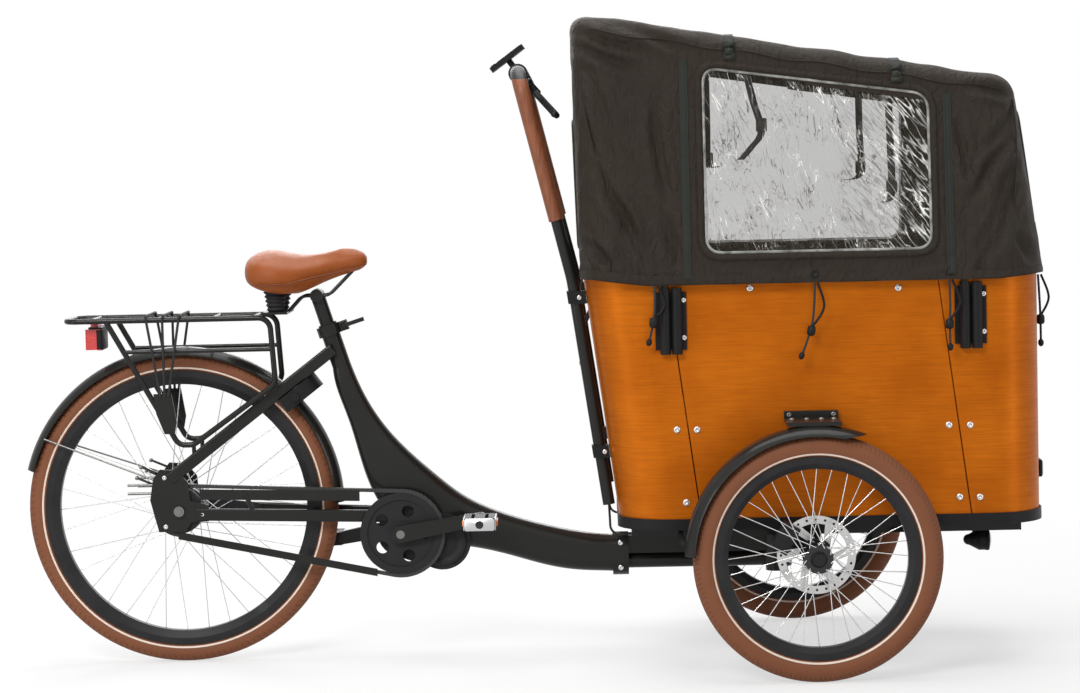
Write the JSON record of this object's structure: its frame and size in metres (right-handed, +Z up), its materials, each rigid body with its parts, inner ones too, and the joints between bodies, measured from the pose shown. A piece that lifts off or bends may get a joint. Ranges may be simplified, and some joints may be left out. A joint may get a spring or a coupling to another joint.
{
  "type": "cargo tricycle",
  "caption": "Electric cargo tricycle with a plywood box between the front wheels, a rain tent over it, a hoop handlebar, a sprung saddle and a belt-driven rear wheel.",
  "frame": {"origin": "on the ground, below the middle of the tricycle's length and width", "axes": "+X forward, +Y to the rider's left, +Z up"},
  "size_m": [2.1531, 0.9146, 1.3549],
  "materials": {
    "frame_black": "satin powder coat",
    "motor_black": "matte cast and coated",
    "rim_black": "satin anodised",
    "bright_steel": "polished",
    "bright_alloy": "turned",
    "tyre_brown": "moulded, with a pale reflective line",
    "belt_black": "toothed",
    "rubber_black": "matte",
    "plastic_black": "fine grained",
    "lens_red": "moulded lens",
    "leather_tan": "stitched",
    "plywood_amber": "stained and varnished",
    "tent_cloth": "woven, coated",
    "clear_sheet": "clear, creased"
  },
  "bodies": {
    "rear_frame": {"main_frame_tube": "frame_black", "seat_stays": "frame_black", "chain_stays": "frame_black", "dropouts": "frame_black", "motor_housing": "motor_black", "rear_axle": "bright_steel", "rear_brake": "motor_black", "rear_mudguard": "frame_black", "rear_rack": "frame_black", "rack_straps": "rubber_black", "tail_light": "lens_red", "ring_lock": "plastic_black", "drive_belt": "belt_black", "frame_clamps": "frame_black", "steering_beam": "frame_black"},
    "rear_wheel": {"rear_tyre": "tyre_brown", "rear_rim": "rim_black", "rear_spokes": "bright_steel", "rear_hub": "motor_black"},
    "rear_sprocket": {"rear_sprocket": "motor_black"},
    "crank": {"crank_axles": "bright_steel", "crank_arms": "frame_black", "front_sprocket": "motor_black"},
    "pedal_right": {"pedal_right": "bright_alloy"},
    "pedal_left": {"pedal_left": "bright_alloy"},
    "saddle": {"seat_post": "frame_black", "saddle_rails": "frame_black", "saddle_bellows": "rubber_black", "saddle_pad": "leather_tan"},
    "clamp_lever": {"clamp_lever": "frame_black"},
    "front": {"front_chassis": "frame_black", "brake_calipers": "motor_black", "box_floor": "plastic_black", "box_side_panels": "plywood_amber", "box_end_panels": "plywood_amber", "bench": "plywood_amber", "battery": "plastic_black", "handlebar": "frame_black", "handlebar_wraps": "leather_tan", "handlebar_clamps": "plastic_black", "display": "plastic_black", "control_cables": "rubber_black", "front_mudguards": "frame_black", "pole_sockets": "plastic_black", "headlamp": "plastic_black"},
    "brake_lever_right": {"brake_lever_right": "frame_black"},
    "brake_lever_left": {"brake_lever_left": "frame_black"},
    "gear_shifter": {"gear_shifter": "rubber_black"},
    "front_wheel_right": {"front_tyre_right": "tyre_brown", "front_rim_right": "rim_black", "front_spokes_right": "bright_steel", "front_hub_right": "bright_alloy"},
    "front_wheel_left": {"front_tyre_left": "tyre_brown", "front_rim_left": "rim_black", "front_spokes_left": "bright_steel", "front_hub_left": "bright_alloy"},
    "tent": {"tent_cover": "tent_cloth", "tent_windows": "clear_sheet", "tent_poles": "bright_alloy", "tent_cords": "rubber_black"}
  },
  "joints": [
    {"name": "steer", "type": "hinge", "parent": "rear_frame", "child": "front", "pos_m": [0.53285, 0, 0.218], "axis": [0, 0, 1], "range_deg": [-35, 35]},
    {"name": "rear_wheel_spin", "type": "hinge", "parent": "rear_frame", "child": "rear_wheel", "pos_m": [-0.73915, 0, 0.333], "axis": [0, 1, 0], "continuous": true},
    {"name": "crank_spin", "type": "hinge", "parent": "rear_frame", "child": "crank", "pos_m": [-0.26915, 0, 0.274], "axis": [0, 1, 0], "continuous": true},
    {"name": "rear_sprocket_spin", "type": "hinge", "parent": "rear_frame", "child": "rear_sprocket", "pos_m": [-0.73915, 0, 0.333], "axis": [0, 1, 0], "continuous": true},
    {"name": "pedal_right_spin", "type": "hinge", "parent": "crank", "child": "pedal_right", "pos_m": [-0.09681, -0.14, 0.30439], "axis": [0, 1, 0], "continuous": true},
    {"name": "pedal_left_spin", "type": "hinge", "parent": "crank", "child": "pedal_left", "pos_m": [-0.4415, 0.14, 0.24361], "axis": [0, 1, 0], "continuous": true},
    {"name": "saddle_height", "type": "slide", "parent": "rear_frame", "child": "saddle", "axis": [-0.3007, 0, 0.9537], "range_m": [0, 0.15]},
    {"name": "clamp_lever_swing", "type": "hinge", "parent": "rear_frame", "child": "clamp_lever", "pos_m": [-0.38417, -0.0138, 0.71762], "axis": [0.3007, 0, -0.9537], "range_deg": [0, 120]},
    {"name": "brake_lever_right_pull", "type": "hinge", "parent": "front", "child": "brake_lever_right", "pos_m": [0.02279, -0.1053, 1.22202], "axis": [-0.76, 0, -0.65], "range_deg": [0, 25], "stiffness_Nm_per_rad": 2},
    {"name": "brake_lever_left_pull", "type": "hinge", "parent": "front", "child": "brake_lever_left", "pos_m": [0.02279, 0.1053, 1.22202], "axis": [0.76, 0, 0.65], "range_deg": [0, 25], "stiffness_Nm_per_rad": 2},
    {"name": "gear_shifter_twist", "type": "hinge", "parent": "front", "child": "gear_shifter", "pos_m": [0.00485, -0.127, 1.243], "axis": [0, 1, 0], "range_deg": [-60, 60]},
    {"name": "front_wheel_right_spin", "type": "hinge", "parent": "front", "child": "front_wheel_right", "pos_m": [0.59285, -0.415, 0.252], "axis": [0, 1, 0], "continuous": true},
    {"name": "front_wheel_left_spin", "type": "hinge", "parent": "front", "child": "front_wheel_left", "pos_m": [0.59285, 0.415, 0.252], "axis": [0, 1, 0], "continuous": true},
    {"name": "tent_lift", "type": "slide", "parent": "front", "child": "tent", "axis": [0, 0, 1], "range_m": [0, 0.45]}
  ],
  "couplings": [
    {"joint": "rear_sprocket_spin", "follows": "crank_spin", "ratio": 1.7755}
  ]
}
